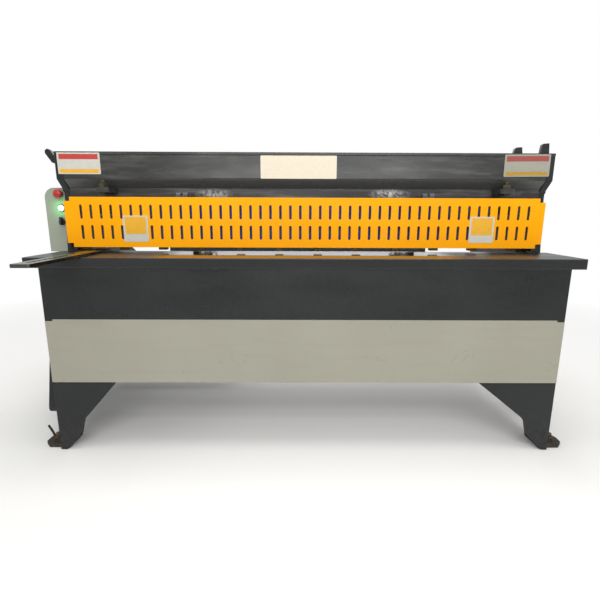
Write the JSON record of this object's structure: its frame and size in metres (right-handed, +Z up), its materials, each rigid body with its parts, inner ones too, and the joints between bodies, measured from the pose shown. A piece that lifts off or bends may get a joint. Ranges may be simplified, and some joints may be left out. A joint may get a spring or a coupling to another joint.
{
  "type": "mechanical plate shear",
  "caption": "Floor-standing mechanical guillotine shear: plate frames, work table, slotted guard, ram pulled down from below, hold-down bar and switch box.",
  "frame": {"origin": "on the floor, midway between the four floor-bolt holes", "axes": "+X along the blades to the operator's right, +Y from the operator to the back, +Z up"},
  "size_m": [2.292, 1.26, 1.262],
  "materials": {
    "dark_paint": "gloss enamel",
    "panel_paint": "gloss enamel",
    "guard_paint": "satin powder coat",
    "ground_steel": "ground",
    "blade_steel": "ground and oiled",
    "bright_steel": "turned",
    "nut_steel": "yellow passivated, grimy",
    "foot_steel": "painted, dusty",
    "bronze": "scraped",
    "motor_paint": "satin enamel",
    "box_paint": "satin powder coat",
    "stop_red": "moulded",
    "start_green": "moulded, lit",
    "switch_black": "moulded",
    "collar_plastic": "moulded"
  },
  "bodies": {
    "frame": {"right_side_frame": "dark_paint", "left_side_frame": "dark_paint", "foot_lugs": "foot_steel", "front_apron": "dark_paint", "front_panel": "panel_paint", "right_front_leg": "dark_paint", "left_front_leg": "dark_paint", "work_table": "dark_paint", "table_ribs": "dark_paint", "bed_beam": "dark_paint", "lower_blade": "blade_steel", "rear_beam": "dark_paint", "front_cross_tube": "dark_paint", "ram_guides": "bronze", "squaring_arm": "ground_steel", "guard": "guard_paint", "guard_brackets": "dark_paint", "drive_cover": "dark_paint", "crank_cover": "dark_paint", "crank_shaft": "bright_steel", "crank_bearings": "motor_paint", "motor": "motor_paint", "motor_shelf": "dark_paint", "control_box": "box_paint", "control_box_post": "dark_paint", "control_collars": "collar_plastic"},
    "ram": {"blade_carrier": "dark_paint", "upper_blade": "blade_steel", "ram_front_plate": "dark_paint", "ram_top_plate": "dark_paint", "ram_ribs": "dark_paint", "right_ram_end": "dark_paint", "left_ram_end": "dark_paint", "right_pull_rod": "bright_steel", "left_pull_rod": "bright_steel", "hanger_lugs": "dark_paint", "left_lifting_ear": "dark_paint", "right_lifting_ears": "dark_paint", "back_gauge_arms": "dark_paint", "back_gauge_screws": "bright_steel", "back_gauge_bar": "ground_steel"},
    "holddown": {"holddown_beam": "dark_paint", "holddown_pads": "nut_steel", "holddown_hangers": "nut_steel"},
    "stop_button": {"emergency_stop": "stop_red"},
    "start_button_cap": {"start_button": "start_green"},
    "selector_knob": {"selector_switch": "switch_black"}
  },
  "joints": [
    {"name": "ram_slide", "type": "slide", "parent": "frame", "child": "ram", "axis": [0, 0, 1], "range_m": [-0.06, 0]},
    {"name": "holddown_slide", "type": "slide", "parent": "frame", "child": "holddown", "axis": [0, 0, 1], "range_m": [-0.005, 0]},
    {"name": "stop_press", "type": "slide", "parent": "frame", "child": "stop_button", "axis": [0, 1, 0], "range_m": [0, 0.005]},
    {"name": "start_press", "type": "slide", "parent": "frame", "child": "start_button_cap", "axis": [0, 1, 0], "range_m": [0, 0.003], "stiffness_N_per_m": 400},
    {"name": "selector_turn", "type": "hinge", "parent": "frame", "child": "selector_knob", "pos_m": [-1.101, -0.126, 0.924], "axis": [0, 1, 0], "range_deg": [-45, 45]}
  ],
  "couplings": [
    {"joint": "holddown_slide", "follows": "ram_slide", "ratio": 0.083333}
  ]
}
